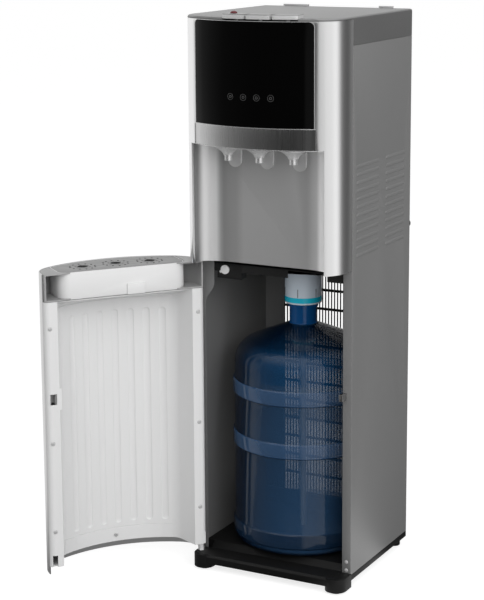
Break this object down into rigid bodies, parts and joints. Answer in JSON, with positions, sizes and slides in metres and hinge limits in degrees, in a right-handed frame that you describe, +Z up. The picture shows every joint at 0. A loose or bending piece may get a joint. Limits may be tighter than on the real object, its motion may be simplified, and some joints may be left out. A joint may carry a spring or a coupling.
{
  "type": "bottom-loading water dispenser",
  "caption": "Bottom-loading water dispenser with hot, room and cold taps in a front recess, and a hinged door with drip tray over the bottle bay.",
  "frame": {"origin": "on the floor under the middle of the cabinet's side panels, at the end of the base tray's centre support", "axes": "+Z up, -Y towards the user in front, +X to the right as seen in the drawings; the door is hinged at -X"},
  "size_m": [0.5196, 0.5458, 1.0614],
  "materials": {
    "base_black": "moulded, fine grain",
    "foot_rubber": "plain",
    "hinge_steel": "zinc plated",
    "side_steel": "satin paint",
    "cover_grey": "satin",
    "silver_paint": "metallic silver",
    "panel_black": "high gloss",
    "strip_brushed": "brushed metal look",
    "recess_grey": "satin metallic",
    "tap_grey": "satin",
    "lock_red": "gloss",
    "liner_white": "satin",
    "grille_grey": "satin",
    "bottle_blue": "clear tinted",
    "cap_clear": "clear tinted",
    "tube_clear": "soft translucent",
    "tank_foam": "foam jacket",
    "compressor_black": "black enamel",
    "board_green": "lacquered board",
    "galvanised": "galvanised",
    "condenser_black": "black enamel"
  },
  "bodies": {
    "cabinet": {"base_tray": "base_black", "rubber_foot_front_left": "foot_rubber", "rubber_foot_front_right": "foot_rubber", "rubber_foot_rear_left": "foot_rubber", "rubber_foot_rear_right": "foot_rubber", "hinge_pin_lower": "hinge_steel", "hinge_bracket_upper": "hinge_steel", "side_panel_left": "side_steel", "side_panel_right": "side_steel", "back_panel": "side_steel", "top_cover": "cover_grey", "fascia_frame": "silver_paint", "control_panel": "panel_black", "tap_strip": "strip_brushed", "recess_liner": "recess_grey", "tap_body_hot": "tap_grey", "tap_body_room": "tap_grey", "tap_body_cold": "tap_grey", "tap_nozzle_hot": "tap_grey", "tap_nozzle_room": "tap_grey", "tap_nozzle_cold": "tap_grey", "key_spring_hot": "hinge_steel", "key_spring_room": "hinge_steel", "key_spring_cold": "hinge_steel", "bay_deck": "base_black", "probe_hanger": "base_black", "hanger_plug": "liner_white", "catch_striker": "hinge_steel", "tank_shelf": "galvanised", "cold_tank": "tank_foam", "hot_tank": "tank_foam", "pipe_hot": "tube_clear", "pipe_room": "tube_clear", "pipe_cold": "tube_clear", "compressor": "compressor_black", "water_pump": "base_black", "control_board": "board_green", "heater_bezel": "base_black", "cooler_bezel": "base_black", "power_inlet": "base_black", "drain_spout": "base_black", "condenser_tube": "condenser_black", "condenser_wires": "condenser_black"},
    "door": {"door_skin": "silver_paint", "door_liner": "liner_white", "door_catch": "grille_grey", "door_cap_hinge": "grille_grey", "door_cap_free": "grille_grey"},
    "drip_tray": {"drip_tray": "liner_white"},
    "drip_grille": {"drip_grille": "grille_grey"},
    "bottle": {"bottle": "bottle_blue", "bottle_cap": "cap_clear", "dip_tube": "tube_clear"},
    "key_hot": {"key_hot": "silver_paint"},
    "key_room": {"key_room": "silver_paint"},
    "key_cold": {"key_cold": "silver_paint"},
    "child_lock": {"child_lock": "lock_red"},
    "heater_rocker": {"heater_switch": "lock_red"},
    "cooler_rocker": {"cooler_switch": "base_black"},
    "drain_plug": {"drain_plug": "foot_rubber"}
  },
  "joints": [
    {"name": "door_hinge", "type": "hinge", "parent": "cabinet", "child": "door", "pos_m": [-0.149, -0.1525, 0.3], "axis": [0, 0, -1], "range_deg": [-128.58, 6.4]},
    {"name": "drip_tray_lift", "type": "slide", "parent": "door", "child": "drip_tray", "axis": [0, 0, 1], "range_m": [0, 0.08]},
    {"name": "drip_grille_lift", "type": "slide", "parent": "drip_tray", "child": "drip_grille", "axis": [0, 0, 1], "range_m": [0, 0.04]},
    {"name": "bottle_slide", "type": "slide", "parent": "cabinet", "child": "bottle", "axis": [0, -1, 0], "range_m": [0, 0.4]},
    {"name": "key_hot_press", "type": "slide", "parent": "cabinet", "child": "key_hot", "axis": [0, 0, -1], "range_m": [0, 0.0025], "stiffness_N_per_m": 400, "springref_m": -0.001, "deforming": ["key_spring_hot"]},
    {"name": "key_room_press", "type": "slide", "parent": "cabinet", "child": "key_room", "axis": [0, 0, -1], "range_m": [0, 0.0025], "stiffness_N_per_m": 400, "springref_m": -0.001, "deforming": ["key_spring_room"]},
    {"name": "key_cold_press", "type": "slide", "parent": "cabinet", "child": "key_cold", "axis": [0, 0, -1], "range_m": [0, 0.0025], "stiffness_N_per_m": 400, "springref_m": -0.001, "deforming": ["key_spring_cold"]},
    {"name": "child_lock_slide", "type": "slide", "parent": "key_hot", "child": "child_lock", "axis": [0, -1, 0], "range_m": [0, 0.004]},
    {"name": "heater_rocker_turn", "type": "hinge", "parent": "cabinet", "child": "heater_rocker", "pos_m": [-0.1, 0.1307, 0.965], "axis": [1, 0, 0], "range_deg": [-16, 0]},
    {"name": "cooler_rocker_turn", "type": "hinge", "parent": "cabinet", "child": "cooler_rocker", "pos_m": [-0.076, 0.1307, 0.965], "axis": [1, 0, 0], "range_deg": [-16, 0]},
    {"name": "drain_plug_pull", "type": "slide", "parent": "cabinet", "child": "drain_plug", "axis": [0, 1, 0], "range_m": [0, 0.02]}
  ]
}
